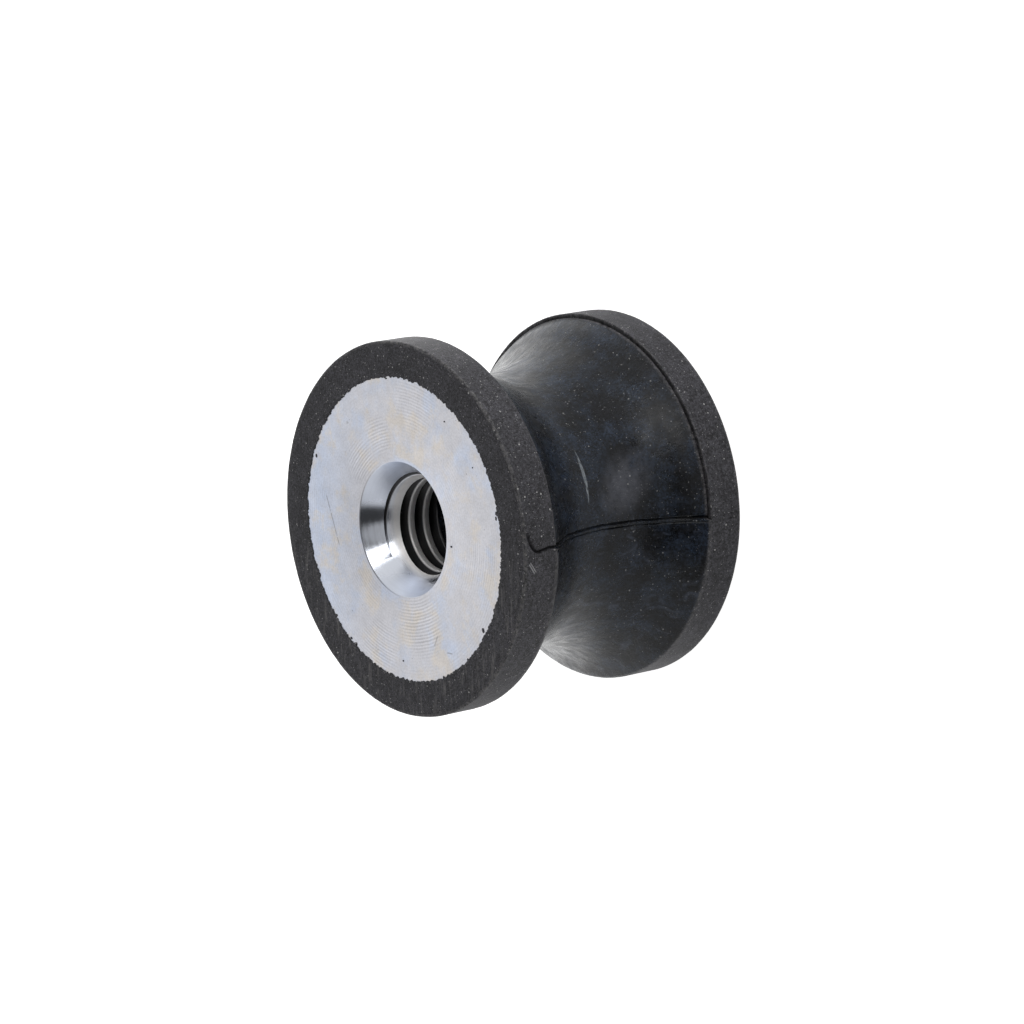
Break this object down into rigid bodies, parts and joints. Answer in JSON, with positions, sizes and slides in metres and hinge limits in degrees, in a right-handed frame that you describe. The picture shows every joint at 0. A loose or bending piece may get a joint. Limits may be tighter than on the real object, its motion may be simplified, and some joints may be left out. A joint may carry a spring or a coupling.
{
  "type": "bobbin vibration mount",
  "caption": "Waisted black rubber bobbin mount with a zinc-plated steel disc and a countersunk M6 thread in each end.",
  "frame": {"origin": "centre of the lower end face, on the surface that the mount stands on", "axes": "+Z along the axis, out of the upper threaded hole; the mould's parting plane is the YZ plane, and +X is the half with a step behind the rims"},
  "size_m": [0.02, 0.0202, 0.015],
  "materials": {
    "black_rubber": "matte black moulded rubber with fine dust and a faint bloom",
    "zinc_plated_steel": "turned steel, bright zinc plated, faint blue and yellow tints"
  },
  "bodies": {
    "root": {"rubber_body": "black_rubber", "upper_insert": "zinc_plated_steel", "lower_insert": "zinc_plated_steel"}
  },
  "joints": []
}
